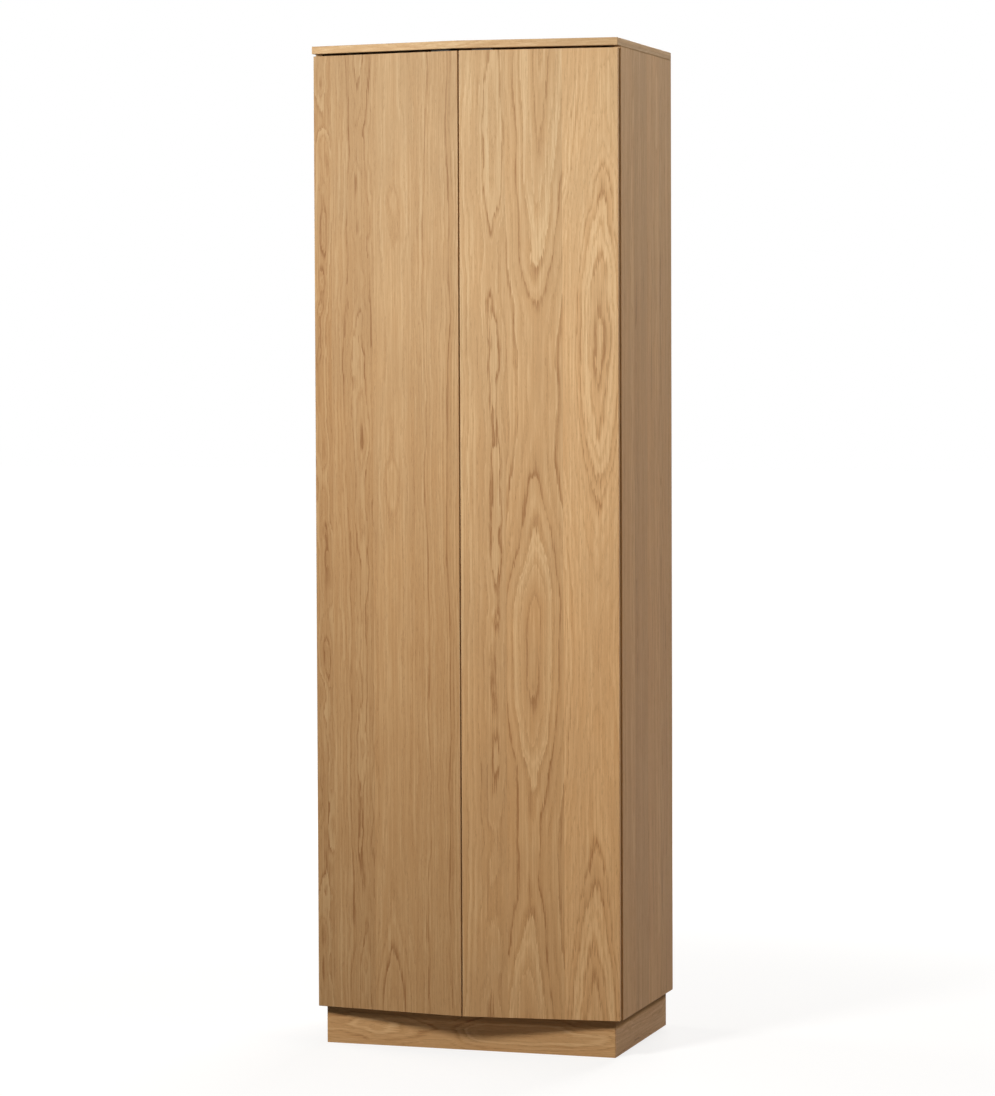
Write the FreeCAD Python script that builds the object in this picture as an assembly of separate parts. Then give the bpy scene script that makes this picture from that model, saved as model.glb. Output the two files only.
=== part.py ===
import FreeCAD, Part
import os
from math import atan2, cos, sin, sqrt, tan

# A tall two-door wardrobe in oak veneer, in millimetres, +Z up. Its front is a shallow V: both
# doors slope back from a ridge in the middle. The origin is the middle of the footprint's box,
# on the floor. The front faces -Y.

Vector = FreeCAD.Vector
UP = Vector(0, 0, 1)

# Overall sizes
overall_height = 2150.0
overall_width = 680.0
side_depth = 436.0
ridge_rise = 39.0
board = 16.0
edge_round = 1.0

# Doors and the gaps round them
door_board = 16.0
top_overhang = 6.0
door_side_inset = 1.5
gap_behind_door = 3.0
gap_above_door = 4.5
gap_below_door = 1.0
gap_between_doors = 3.0

# Plinth
plinth_height = 80.0
plinth_front_inset = 21.0
plinth_rear_setback = 30.0
block_width = 28.0
block_height = 45.0

# Back panel in its grooves
back_thickness = 5.0
back_setback = 12.0
groove_depth = 7.0
groove_slack = 0.2
groove_end_play = 0.5

# Hat shelf and hanging rail
hat_space = 280.0
shelf_setback = 30.0
shelf_back_play = 0.5
rail_drop = 58.0
rail_height = 30.0
rail_width = 15.0
rail_wall = 1.2
rail_end_play = 0.3
socket_plate = 2.5
socket_wall = 2.5
socket_reach = 12.0
socket_slack = 0.3
socket_screw_spacing = 48.0
socket_plate_width = 24.0

# Cam fittings and dowels
cam_radius = 7.5
cam_height = 12.5
cam_from_edge = 34.0
cam_slot_length = 7.0
cam_slot_width = 1.4
cam_slot_depth = 2.0
bolt_thread_radius = 2.5
bolt_thread_length = 11.0
bolt_shank_radius = 2.6
bolt_head_radius = 3.6
bolt_head_length = 5.0
bolt_bore_radius = 4.0
dowel_radius = 4.0
dowel_length = 30.0
dowel_in_face = 10.0
fitting_front_distance = 45.0
fitting_rear_distance = 100.0
fitting_spacing = 32.0

# Screws: a shank in its board under a head with a cross recess
screw_radius = 1.9
screw_length = 12.0
screw_head_radius = 3.8
screw_head_height = 1.6
screw_recess_width = 0.9
screw_recess_depth = 0.9
plinth_screw_radius = 2.2
plinth_screw_bite = 12.0
hole_bottom_room = 1.0

# Wall brackets under the top, at the back
wall_bracket_offset = 200.0
wall_bracket_leg = 32.0
wall_bracket_width = 30.0
wall_bracket_thickness = 2.0
wall_hole_share = 0.6
wall_hole_radius = 3.5

# Concealed hinges: a cup in the door, an arm on a cross plate, and two links between them
hinge_count = 4
hinge_end_distance = 100.0
cup_bore_radius = 17.5
cup_bore_depth = 11.5
cup_edge_distance = 22.0
cup_depth = 11.0
cup_wall = 1.2
cup_slack = 0.1
cup_notch_depth = 3.4
flange_thickness = 1.2
flange_rim = 1.5
ear_spacing = 48.0
ear_offset = 6.0
ear_radius = 7.0
pin_radius = 1.25
eye_radius = 2.3
main_arm_in, main_arm_back = 14.2, -4.1
guide_arm_in, guide_arm_back = 19.9, -7.8
main_door_along, main_door_depth = 11.3, 2.2
guide_door_along, guide_door_depth = 10.1, 7.3
main_link_half_width = 0.85
guide_link_half_width = 0.75
guide_eye_room = 2.0
guide_eye_wall = 1.1
guide_half_height = 3.5
main_bar_height = 2.4
link_side_play = 0.4
web_start_share = 0.10
web_end_share = 0.24
cheek_thickness = 1.4
nose_radius = 2.6
arm_front = 8.0
arm_back = 68.0
arm_low = 3.5
arm_roof = 17.0
arm_screw_front = 24.0
arm_screw_rear = 52.0
plate_front = 14.0
plate_back = 62.0
plate_line = 37.0
spine_rise = 8.0
spine_play = 0.5
wing_thickness = 2.0
wing_width = 16.0
wing_margin = 10.0
plate_screw_spacing = 32.0
plate_screw_radius = 2.5
plate_screw_length = 11.0

# Push latches behind the free edge of each door
latch_edge_distance = 45.0
latch_width = 20.0
latch_height = 22.0
latch_length = 76.0
latch_base_thickness = 3.0
latch_base_width = 44.0
plunger_radius = 4.0
plunger_length = 52.0
plunger_travel = 3.0
plunger_clearance = 0.3
strike_radius = 5.5
strike_thickness = 1.0
bumper_radius = 4.0
bumper_thickness = 1.5
bumper_edge_distance = 18.0

# Working allowances
overrun = 2.0
snug = 0.05

# Derived places
half_width = overall_width / 2
inner_half = half_width - board
slope = atan2(ridge_rise, half_width)
total_depth = side_depth + ridge_rise
back_y = total_depth / 2
corner_y = back_y - side_depth
top_z = overall_height - board
floor_top_z = plinth_height + board
carcass_front_y = corner_y + top_overhang + door_board + gap_behind_door
groove_front_y = back_y - back_setback - back_thickness - 2 * groove_slack
groove_back_y = back_y - back_setback
back_front_y = groove_front_y + groove_slack
shelf_top_z = top_z - hat_space
shelf_z = shelf_top_z - board
along = Vector(cos(slope), -sin(slope), 0)
inward = Vector(sin(slope), cos(slope), 0)
door_front_corner = Vector(-(half_width - door_side_inset), corner_y + top_overhang, 0)
door_back_corner = door_front_corner + inward * door_board
door_low_z = plinth_height + gap_below_door
door_high_z = top_z - gap_above_door
door_inner_x = -gap_between_doors / 2
hinge_step = (door_high_z - door_low_z - 2 * hinge_end_distance) / (hinge_count - 1)
hinge_heights = [door_low_z + hinge_end_distance + hinge_step * i for i in range(hinge_count)]
cup_radius = cup_bore_radius - cup_slack
cheek_inner = guide_half_height + main_bar_height + 2 * link_side_play
cheek_outer = cheek_inner + cheek_thickness


def on_door(distance, depth):
    """Plan point on the left door: distance from its outer edge, depth from its back face."""
    return door_back_corner + along * distance - inward * depth


def in_carcass(inside, behind):
    """Plan point from the left side's inner front corner: into the room, and towards the back."""
    return Vector(-inner_half + inside, carcass_front_y + behind, 0)


main_arm_pivot = in_carcass(main_arm_in, main_arm_back)
guide_arm_pivot = in_carcass(guide_arm_in, guide_arm_back)
main_door_pivot = on_door(main_door_along, main_door_depth)
guide_door_pivot = on_door(guide_door_along, guide_door_depth)
cup_centre = on_door(cup_edge_distance, 0)


def block(x0, x1, y0, y1, z0, z1):
    """Box between two corners."""
    return Part.makeBox(x1 - x0, y1 - y0, z1 - z0, Vector(x0, y0, z0))


def prism(points, z0, z1):
    """Upright prism on a closed outline of plan points."""
    outline = [Vector(p.x, p.y, z0) for p in points]
    face = Part.Face(Part.makePolygon(outline + outline[:1]))
    return face.extrude(UP * (z1 - z0))


def post(point, radius, z0, z1):
    """Upright cylinder at a plan point."""
    return Part.makeCylinder(radius, z1 - z0, Vector(point.x, point.y, z0), UP)


def rod(start, direction, radius, length):
    """Cylinder from a point along a direction."""
    return Part.makeCylinder(radius, length, start, direction)


def bar(p, q, half, z0, z1):
    """Flat bar of one width between two plan points."""
    run = Vector(q.x - p.x, q.y - p.y, 0).normalize()
    side = run.cross(UP) * half
    return prism([p + side, q + side, q - side, p - side], z0, z1)


def round_bar(p, q, radius, z0, z1):
    """Flat bar with round ends."""
    ends = [post(p, radius, z0, z1), post(q, radius, z0, z1)]
    return bar(p, q, radius, z0, z1).fuse(ends)


def mirrored(shape):
    """The same shape on the other side of the wardrobe."""
    return shape.mirror(Vector(0, 0, 0), Vector(1, 0, 0))


def both_sides(shapes):
    """Shapes of the left side with their mirror images."""
    return shapes + [mirrored(s) for s in shapes]


def at_heights(shape, heights):
    """Copies of a shape made at floor level, lifted to each height."""
    copies = []
    for z in heights:
        copy = shape.copy()
        copy.translate(UP * z)
        copies.append(copy)
    return copies


def softened(shape):
    """Board with all its edges rounded."""
    return shape.makeFillet(edge_round, shape.Edges)


def cross_recess(point, direction, length, width, depth):
    """Cutting tool for a cross in the head at a point, going in along a direction."""
    helper = UP if abs(direction.z) < abs(direction.x) + abs(direction.y) else Vector(1, 0, 0)
    first = direction.cross(helper).normalize()
    second = direction.cross(first).normalize()
    tools = []
    for a, b in ((first, second), (second, first)):
        start = point - a * (length / 2) - b * (width / 2) - direction * overrun
        corners = [start, start + a * length, start + a * length + b * width, start + b * width]
        face = Part.Face(Part.makePolygon(corners + corners[:1]))
        tools.append(face.extrude(direction * (depth + overrun)))
    return tools[0].fuse(tools[1])


def screw(point, direction, length, radius):
    """Screw whose head sits on a surface at a point and whose shank goes in."""
    head_top = point - direction * screw_head_height
    crown_radius = (screw_head_radius + radius) / 2
    head = Part.makeCone(crown_radius, screw_head_radius, screw_head_height, head_top, direction)
    shank = rod(point, direction, radius, length)
    recess = cross_recess(head_top, direction, screw_head_radius, screw_recess_width, screw_recess_depth)
    return head.fuse(shank).cut(recess)


def screw_hole(point, direction, length, radius):
    """Cutting tool for the shank of a screw."""
    return rod(point - direction * overrun, direction, radius + snug, length + overrun + hole_bottom_room)


# Joints of the carcass boards


def fitting_lines():
    """Y places of the bolts, each with the step that leads to its dowel."""
    front = carcass_front_y + fitting_front_distance
    rear = back_y - fitting_rear_distance
    return [(front, fitting_spacing), (rear, -fitting_spacing)]


def joint_places():
    """Left-hand joints: name, line in x and z, direction into the other board, cam's open side."""
    left = Vector(-1, 0, 0)
    inside = Vector(1, 0, 0)
    down = Vector(0, 0, -1)
    return [
        ("top", Vector(-(half_width - board / 2), 0, top_z), UP, inside),
        ("bottom", Vector(-inner_half, 0, plinth_height + board / 2), left, down),
        ("shelf", Vector(-inner_half, 0, shelf_z + board / 2), left, down),
    ]


def left_fittings():
    """Every bolt and dowel place of the left side."""
    places = []
    for name, line, out, face in joint_places():
        for y, step in fitting_lines():
            if name == "shelf":
                y += shelf_setback if step > 0 else 0
            bolt_at = Vector(line.x, y, line.z)
            dowel_at = Vector(line.x, y + step, line.z)
            places.append((name, bolt_at, dowel_at, out, face))
    return places


def cam_bore(bolt_at, out):
    """Cutting tool for the bolt's bore in the board that holds the cam."""
    return rod(bolt_at + out * overrun, out * -1, bolt_bore_radius, cam_from_edge + overrun)


def cam_housing(bolt_at, out, face):
    """Cam lock in its round pocket, open towards its bolt."""
    top = bolt_at - out * cam_from_edge + face * (board / 2 - snug)
    body = rod(top, face * -1, cam_radius, cam_height)
    recess = cross_recess(top, face * -1, cam_slot_length, cam_slot_width, cam_slot_depth)
    return body.cut([cam_bore(bolt_at, out), recess])


def cam_pocket(bolt_at, out, face):
    """Cutting tool for the cam's round pocket."""
    top = bolt_at - out * cam_from_edge + face * (board / 2 + overrun)
    return rod(top, face * -1, cam_radius + snug, cam_height + 2 * snug + overrun)


def cam_bolt(bolt_at, out):
    """Bolt: its thread in one board, its head in the cam of the other."""
    head_end = bolt_at - out * (cam_from_edge - snug)
    head = rod(head_end, out, bolt_head_radius, bolt_head_length)
    shank = rod(head_end, out, bolt_shank_radius, cam_from_edge - snug)
    thread = rod(bolt_at, out, bolt_thread_radius, bolt_thread_length)
    return head.fuse([shank, thread])


def bolt_hole(bolt_at, out):
    """Cutting tool for the bolt's thread."""
    reach = bolt_thread_length + hole_bottom_room + overrun
    return rod(bolt_at - out * overrun, out, bolt_thread_radius + snug, reach)


def dowel(dowel_at, out):
    """Wooden dowel across a joint."""
    return rod(dowel_at + out * dowel_in_face, out * -1, dowel_radius, dowel_length)


def dowel_hole(dowel_at, out):
    """Cutting tool for both halves of a dowel's hole."""
    start = dowel_at + out * (dowel_in_face + hole_bottom_room)
    return rod(start, out * -1, dowel_radius + snug, dowel_length + 2 * hole_bottom_room)


def joint_holes(board_name):
    """Cutting tools of the cam fittings for one board."""
    tools = []
    for name, bolt_at, dowel_at, out, face in left_fittings():
        holds_cam = (name == "top") == (board_name == "side")
        if board_name not in (name, "side"):
            continue
        if holds_cam:
            tools += [cam_bore(bolt_at, out), cam_pocket(bolt_at, out, face)]
        else:
            tools.append(bolt_hole(bolt_at, out))
        tools.append(dowel_hole(dowel_at, out))
    return tools


def cam_housings():
    """All cam locks."""
    return both_sides([cam_housing(b, out, face) for _, b, _, out, face in left_fittings()])


def cam_bolts():
    """All connecting bolts."""
    return both_sides([cam_bolt(b, out) for _, b, _, out, _ in left_fittings()])


def wood_dowels():
    """All dowels."""
    return both_sides([dowel(d, out) for _, _, d, out, _ in left_fittings()])


# Screw places


def socket_screws():
    """Screws of the left rail socket: point and direction."""
    z = shelf_z - rail_drop
    y = rail_line_y()
    reach = socket_screw_spacing / 2
    x = -inner_half + socket_plate
    return [(Vector(x, y, z + s * reach), Vector(-1, 0, 0)) for s in (-1, 1)]


def plate_screws():
    """Screws of the left hinge plates: point and direction."""
    foot = in_carcass(wing_thickness, plate_line)
    reach = plate_screw_spacing / 2
    places = [foot + UP * (z + s * reach) for z in hinge_heights for s in (-1, 1)]
    return [(p, Vector(-1, 0, 0)) for p in places]


def cup_screws():
    """Screws of the left hinge cups: point and direction."""
    foot = on_door(cup_edge_distance + ear_offset, -flange_thickness)
    reach = ear_spacing / 2
    places = [foot + UP * (z + s * reach) for z in hinge_heights for s in (-1, 1)]
    return [(p, inward * -1) for p in places]


def latch_levels():
    """Height of each latch's axis with the direction of the board that carries it."""
    return [(floor_top_z + latch_height / 2, -1), (top_z - latch_height / 2, 1)]


def latch_screws():
    """Screws of the left latches: point and direction."""
    reach = (latch_width + latch_base_width) / 4
    middle = latch_axis_point(gap_behind_door + latch_length / 2)
    places = []
    for z, side in latch_levels():
        plane = z + side * (latch_height / 2 - latch_base_thickness)
        for s in (-1, 1):
            point = middle + along * (s * reach)
            places.append((Vector(point.x, point.y, plane), UP * side))
    return places


def wall_bracket_screws():
    """Screws of the left wall bracket into the top: point and direction."""
    y = back_front_y - wall_bracket_leg / 2
    point = Vector(-wall_bracket_offset, y, top_z - wall_bracket_thickness)
    return [(point, UP)]


def shank_length(thickness):
    """Length of a screw's shank under its head, through a plate of this thickness."""
    return thickness + screw_length


# Boards


def top_outline():
    """Plan of the top: square at the back, a shallow V at the front."""
    return [
        Vector(-half_width, corner_y, 0),
        Vector(0, corner_y - ridge_rise, 0),
        Vector(half_width, corner_y, 0),
        Vector(half_width, back_y, 0),
        Vector(-half_width, back_y, 0),
    ]


def back_groove(x0, x1, z0, z1):
    """Cutting tool for the back panel's groove."""
    return block(x0, x1, groove_front_y, groove_back_y, z0, z1)


def top_panel():
    """Top board, lying on both sides."""
    body = softened(prism(top_outline(), top_z, overall_height))
    reach = inner_half + groove_depth
    tools = [back_groove(-reach, reach, top_z - overrun, top_z + groove_depth)]
    tools += both_sides(joint_holes("top"))
    bracket = shank_length(wall_bracket_thickness)
    tools += both_sides([screw_hole(p, d, bracket, screw_radius) for p, d in wall_bracket_screws()])
    base = shank_length(latch_base_thickness)
    latches = [(p, d) for p, d in latch_screws() if d.z > 0]
    tools += both_sides([screw_hole(p, d, base, screw_radius) for p, d in latches])
    return [body.cut(tools)]


def side_panel():
    """Left side board."""
    x0, x1 = -half_width, -inner_half
    body = softened(block(x0, x1, carcass_front_y, back_y, plinth_height, top_z))
    tools = [back_groove(x1 - groove_depth, x1 + overrun, floor_top_z - groove_depth, top_z + overrun)]
    tools += joint_holes("side")
    for point, direction in plate_screws():
        tools.append(screw_hole(point, direction, plate_screw_length, plate_screw_radius))
    for point, direction in socket_screws():
        tools.append(screw_hole(point, direction, shank_length(socket_plate), screw_radius))
    return [body.cut(tools)]


def bottom_front_y(x):
    """Front edge of the bottom board: parallel to the back of the door."""
    behind_door = door_back_corner.y - tan(slope) * (door_back_corner.x * -1 - abs(x))
    return behind_door + gap_behind_door / cos(slope)


def bottom_panel():
    """Bottom board between the sides, on the plinth."""
    outline = [
        Vector(-inner_half, bottom_front_y(inner_half), 0),
        Vector(0, bottom_front_y(0), 0),
        Vector(inner_half, bottom_front_y(inner_half), 0),
        Vector(inner_half, back_y, 0),
        Vector(-inner_half, back_y, 0),
    ]
    body = prism(outline, plinth_height, floor_top_z)
    reach = inner_half + overrun
    tools = [back_groove(-reach, reach, floor_top_z - groove_depth, floor_top_z + overrun)]
    tools += both_sides(joint_holes("bottom"))
    base = shank_length(latch_base_thickness)
    latches = [(p, d) for p, d in latch_screws() if d.z < 0]
    tools += both_sides([screw_hole(p, d, base, screw_radius) for p, d in latches])
    for place in block_screw_places():
        tools.append(rod(place + UP * plinth_height, UP, plinth_screw_radius + snug, plinth_screw_bite))
    return [body.cut(tools)]


def hat_shelf():
    """Fixed shelf over the hanging space."""
    front = carcass_front_y + shelf_setback
    back = back_front_y - shelf_back_play
    body = block(-inner_half, inner_half, front, back, shelf_z, shelf_top_z)
    return [body.cut(both_sides(joint_holes("shelf")))]


def back_panel():
    """Thin back in its grooves, with a hole for each wall screw."""
    reach = groove_depth - groove_end_play
    x = inner_half + reach
    y = back_front_y
    body = block(-x, x, y, y + back_thickness, floor_top_z - reach, top_z + reach)
    holes = [wall_hole_tool(side * wall_bracket_offset) for side in (-1, 1)]
    return [body.cut(holes)]


def wall_hole_tool(x):
    """Cutting tool for a wall screw through bracket and back."""
    start = Vector(x, back_front_y - wall_bracket_thickness - overrun, wall_hole_z())
    reach = wall_bracket_thickness + back_thickness + 2 * overrun
    return rod(start, Vector(0, 1, 0), wall_hole_radius, reach)


def wall_hole_z():
    """Height of the wall screws."""
    return top_z - wall_bracket_leg * wall_hole_share


# Plinth


def plinth_outer(side):
    """Outer corner points of the plinth at the front and back on one side."""
    x = side * inner_half
    return Vector(x, corner_y + plinth_front_inset, 0), Vector(x, back_y, 0)


def plinth_front_board():
    """Front board with mitred ends."""
    (left, _), (right, _) = plinth_outer(-1), plinth_outer(1)
    inner_left = left + Vector(board, board, 0)
    inner_right = right + Vector(-board, board, 0)
    return [prism([left, right, inner_right, inner_left], 0, plinth_height)]


def plinth_side_board():
    """Left board, mitred at the front."""
    front, rear = plinth_outer(-1)
    inner_front = front + Vector(board, board, 0)
    inner_rear = rear + Vector(board, 0, 0)
    return [prism([front, inner_front, inner_rear, rear], 0, plinth_height)]


def plinth_rear_y():
    """Front face of the rear board."""
    return back_y - plinth_rear_setback - board


def plinth_rear_board():
    """Rear board between the two side boards."""
    x = inner_half - board
    y = plinth_rear_y()
    return [block(-x, x, y, y + board, 0, plinth_height)]


def block_corners():
    """Plan corner of each stiffening block, with the directions into the plinth."""
    x = inner_half - board
    front = corner_y + plinth_front_inset + board
    return [(side * x, y, -side, way) for side in (-1, 1) for y, way in ((front, 1), (plinth_rear_y(), -1))]


def block_screw_places():
    """Plan middle of each stiffening block."""
    half = block_width / 2
    return [Vector(x + dx * half, y + dy * half, 0) for x, y, dx, dy in block_corners()]


def plinth_corner_blocks():
    """Glued blocks in the plinth's corners."""
    low = plinth_height - block_height
    shapes = []
    for x, y, dx, dy in block_corners():
        corner = Vector(x, y, 0)
        far_x, far_y = Vector(dx * block_width, 0, 0), Vector(0, dy * block_width, 0)
        body = prism([corner, corner + far_x, corner + far_x + far_y, corner + far_y], low, plinth_height)
        middle = Vector(x + dx * block_width / 2, y + dy * block_width / 2, 0)
        shapes.append(body.cut(post(middle, plinth_screw_radius + snug, 0, plinth_height + overrun)))
    return shapes


def plinth_screws():
    """Screws up through the blocks into the bottom board."""
    low = plinth_height - block_height
    reach = block_height + plinth_screw_bite - hole_bottom_room
    return [screw(p + UP * low, UP, reach, plinth_screw_radius) for p in block_screw_places()]


# Hanging rail


def rail_line_y():
    """Y place of the rail: the middle of the clear depth."""
    return (carcass_front_y + back_front_y) / 2


def oval(x, y, z, height, width, length):
    """Rod along X with an upright stadium section, from x onwards."""
    flat = (height - width) / 2
    start = Vector(x, y, z)
    ends = [rod(start + UP * (s * flat), Vector(1, 0, 0), width / 2, length) for s in (-1, 1)]
    middle = block(x, x + length, y - width / 2, y + width / 2, z - flat, z + flat)
    return middle.fuse(ends)


def hanging_rail():
    """Oval tube between its two sockets."""
    x = -(inner_half - socket_plate - rail_end_play)
    y, z = rail_line_y(), shelf_z - rail_drop
    outer = oval(x, y, z, rail_height, rail_width, 2 * -x)
    bore_height = rail_height - 2 * rail_wall
    bore_width = rail_width - 2 * rail_wall
    inner = oval(x - overrun, y, z, bore_height, bore_width, 2 * (overrun - x))
    return [outer.cut(inner)]


def rail_socket():
    """Left socket: a plate on the side with an oval ring that takes the rail."""
    x = -inner_half
    y, z = rail_line_y(), shelf_z - rail_drop
    plate_height = socket_screw_spacing + socket_plate_width
    plate = oval(x, y, z, plate_height, socket_plate_width, socket_plate)
    hollow_height = rail_height + 2 * socket_slack
    hollow_width = rail_width + 2 * socket_slack
    ring_height = hollow_height + 2 * socket_wall
    ring_width = hollow_width + 2 * socket_wall
    ring = oval(x, y, z, ring_height, ring_width, socket_plate + socket_reach)
    hollow = oval(x + socket_plate, y, z, hollow_height, hollow_width, socket_reach + overrun)
    holes = [screw_hole(p, d, socket_plate, screw_radius) for p, d in socket_screws()]
    return [plate.fuse(ring).cut([hollow] + holes)]


def rail_socket_screws():
    """Screws of both sockets."""
    reach = shank_length(socket_plate)
    return both_sides([screw(p, d, reach, screw_radius) for p, d in socket_screws()])


# Wall brackets


def wall_brackets():
    """Two steel angles: one leg under the top, one on the back panel."""
    x0 = -wall_bracket_offset - wall_bracket_width / 2
    x1 = x0 + wall_bracket_width
    y = back_front_y
    upper = block(x0, x1, y - wall_bracket_leg, y, top_z - wall_bracket_thickness, top_z)
    lower = block(x0, x1, y - wall_bracket_thickness, y, top_z - wall_bracket_leg, top_z)
    holes = [screw_hole(p, d, wall_bracket_thickness, screw_radius) for p, d in wall_bracket_screws()]
    holes.append(wall_hole_tool(-wall_bracket_offset))
    return both_sides([upper.fuse(lower).cut(holes)])


def wall_bracket_screw_set():
    """Screws of both wall brackets."""
    reach = shank_length(wall_bracket_thickness) - hole_bottom_room
    return both_sides([screw(p, d, reach, screw_radius) for p, d in wall_bracket_screws()])


# Hinges of the left door, made at floor level and lifted to each height


def hinge_plates():
    """Cross plates on the side board."""
    low, high = in_carcass(0, plate_front), in_carcass(spine_rise, plate_back)
    half = cheek_inner - spine_play
    spine = block(low.x, high.x, low.y, high.y, -half, half)
    foot = in_carcass(0, plate_line - wing_width / 2)
    lift = in_carcass(wing_thickness, plate_line + wing_width / 2)
    reach = plate_screw_spacing / 2 + wing_margin
    wings = block(foot.x, lift.x, foot.y, lift.y, -reach, reach)
    body = spine.fuse(wings)
    holes = []
    for s in (-1, 1):
        point = in_carcass(wing_thickness, plate_line) + UP * (s * plate_screw_spacing / 2)
        holes.append(screw_hole(point, Vector(-1, 0, 0), wing_thickness, plate_screw_radius))
    for y in (arm_screw_front, arm_screw_rear):
        point = in_carcass(spine_rise, y)
        depth = spine_rise - wing_thickness
        holes.append(rod(point, Vector(-1, 0, 0), screw_radius + snug, depth))
    return at_heights(body.cut(holes), hinge_heights)


def hinge_plate_screws():
    """Screws of the cross plates."""
    return [screw(p, d, plate_screw_length, plate_screw_radius) for p, d in plate_screws()]


def arm_nose(z0, z1):
    """Front end of one cheek, round both arm pivots."""
    root_low = in_carcass(arm_low + 2 * nose_radius, arm_front + nose_radius)
    root_high = in_carcass(arm_roof - nose_radius, arm_front + nose_radius)
    middle = prism([main_arm_pivot, guide_arm_pivot, root_high, root_low], z0, z1)
    bars = [
        round_bar(main_arm_pivot, guide_arm_pivot, nose_radius, z0, z1),
        round_bar(main_arm_pivot, root_low, nose_radius, z0, z1),
        round_bar(guide_arm_pivot, root_high, nose_radius, z0, z1),
    ]
    return middle.fuse(bars)


def hinge_arms():
    """Channel-shaped arms over the cross plates."""
    low, high = in_carcass(arm_low, arm_front), in_carcass(arm_roof, arm_back)
    roof_low = high.x - cheek_thickness
    pieces = []
    for z0, z1 in ((-cheek_outer, -cheek_inner), (cheek_inner, cheek_outer)):
        pieces.append(block(low.x, high.x, low.y, high.y, z0, z1))
        pieces.append(arm_nose(z0, z1))
    roof = block(roof_low, high.x, low.y, high.y, -cheek_outer, cheek_outer)
    body = roof.fuse(pieces)
    holes = [post(p, pin_radius + snug, -cheek_outer, cheek_outer) for p in (main_arm_pivot, guide_arm_pivot)]
    for y in (arm_screw_front, arm_screw_rear):
        start = in_carcass(arm_roof + overrun, y)
        holes.append(rod(start, Vector(-1, 0, 0), screw_radius + snug, cheek_thickness + 2 * overrun))
    return at_heights(body.cut(holes).removeSplitter(), hinge_heights)


def hinge_arm_screws():
    """Fixing and side screws through each arm into its plate."""
    reach = arm_roof - wing_thickness - hole_bottom_room
    places = [in_carcass(arm_roof, y) for y in (arm_screw_front, arm_screw_rear)]
    screws = [screw(p, Vector(-1, 0, 0), reach, screw_radius) for p in places]
    return [copy for s in screws for copy in at_heights(s, hinge_heights)]


def stub_pins(point, inner, outer):
    """Two short pins on one axis, one above and one below the middle."""
    return [post(point, pin_radius, z0, z1) for z0, z1 in ((-outer, -inner), (inner, outer))]


def hinge_arm_pins():
    """Pins of both arm pivots."""
    pins = stub_pins(main_arm_pivot, guide_half_height + link_side_play, cheek_outer)
    pins.append(post(guide_arm_pivot, pin_radius, -cheek_outer, cheek_outer))
    return [copy for pin in pins for copy in at_heights(pin, hinge_heights)]


def pin_reach(distance):
    """Half length of a pin that ends inside the cup's wall."""
    edge_offset = cup_edge_distance - distance + pin_radius
    end_radius = cup_radius - snug
    return sqrt(end_radius ** 2 - edge_offset ** 2)


def hinge_cup_pins():
    """Pins of both door pivots."""
    pins = stub_pins(main_door_pivot, guide_half_height + link_side_play, pin_reach(main_door_along))
    reach = pin_reach(guide_door_along)
    pins.append(post(guide_door_pivot, pin_radius, -reach, reach))
    return [copy for pin in pins for copy in at_heights(pin, hinge_heights)]


def flange_outline():
    """Flange of a cup on the door's back face: a rim with two ears, clear of the links."""
    start = on_door(cup_edge_distance, -flange_thickness)
    rim = rod(start, inward * -1, cup_radius + flange_rim, flange_thickness)
    ear_at = on_door(cup_edge_distance + ear_offset, -flange_thickness)
    ears = []
    for s in (-1, 1):
        point = ear_at + UP * (s * ear_spacing / 2)
        ears.append(rod(point, inward * -1, ear_radius, flange_thickness))
    p = on_door(cup_edge_distance + ear_offset - ear_radius, -flange_thickness)
    q = on_door(cup_edge_distance + ear_offset + ear_radius, -flange_thickness)
    reach = ear_spacing / 2
    strap = prism([p, q, q - inward * flange_thickness, p - inward * flange_thickness], -reach, reach)
    return rim.fuse(ears + [strap])


def notch_tool():
    """Cutting tool that opens the rim and wall of a cup for the links."""
    near, far = -overrun, cup_edge_distance - cup_radius / 2
    p, q = on_door(near, -overrun - flange_thickness), on_door(far, -overrun - flange_thickness)
    drop = inward * -(cup_notch_depth + overrun + flange_thickness)
    return prism([p, q, q + drop, p + drop], -cheek_inner, cheek_inner)


def hinge_cups():
    """Cups in the door's bores, each with a screwed flange."""
    shell = rod(cup_centre, inward * -1, cup_radius, cup_depth)
    start = cup_centre + inward * (flange_thickness + overrun)
    hollow_depth = cup_depth - cup_wall + flange_thickness + overrun
    hollow = rod(start, inward * -1, cup_radius - cup_wall, hollow_depth)
    tools = [hollow, notch_tool()]
    for point, distance in ((main_door_pivot, main_door_along), (guide_door_pivot, guide_door_along)):
        reach = pin_reach(distance)
        tools.append(post(point, pin_radius + snug, -reach, reach))
    foot = on_door(cup_edge_distance + ear_offset, -flange_thickness)
    for s in (-1, 1):
        point = foot + UP * (s * ear_spacing / 2)
        tools.append(screw_hole(point, inward * -1, flange_thickness, screw_radius))
    body = shell.fuse(flange_outline()).cut(tools)
    return at_heights(body.removeSplitter(), hinge_heights)


def hinge_cup_screws():
    """Screws of the cup flanges."""
    reach = flange_thickness + screw_length - hole_bottom_room
    return [screw(p, d, reach, screw_radius) for p, d in cup_screws()]


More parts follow.
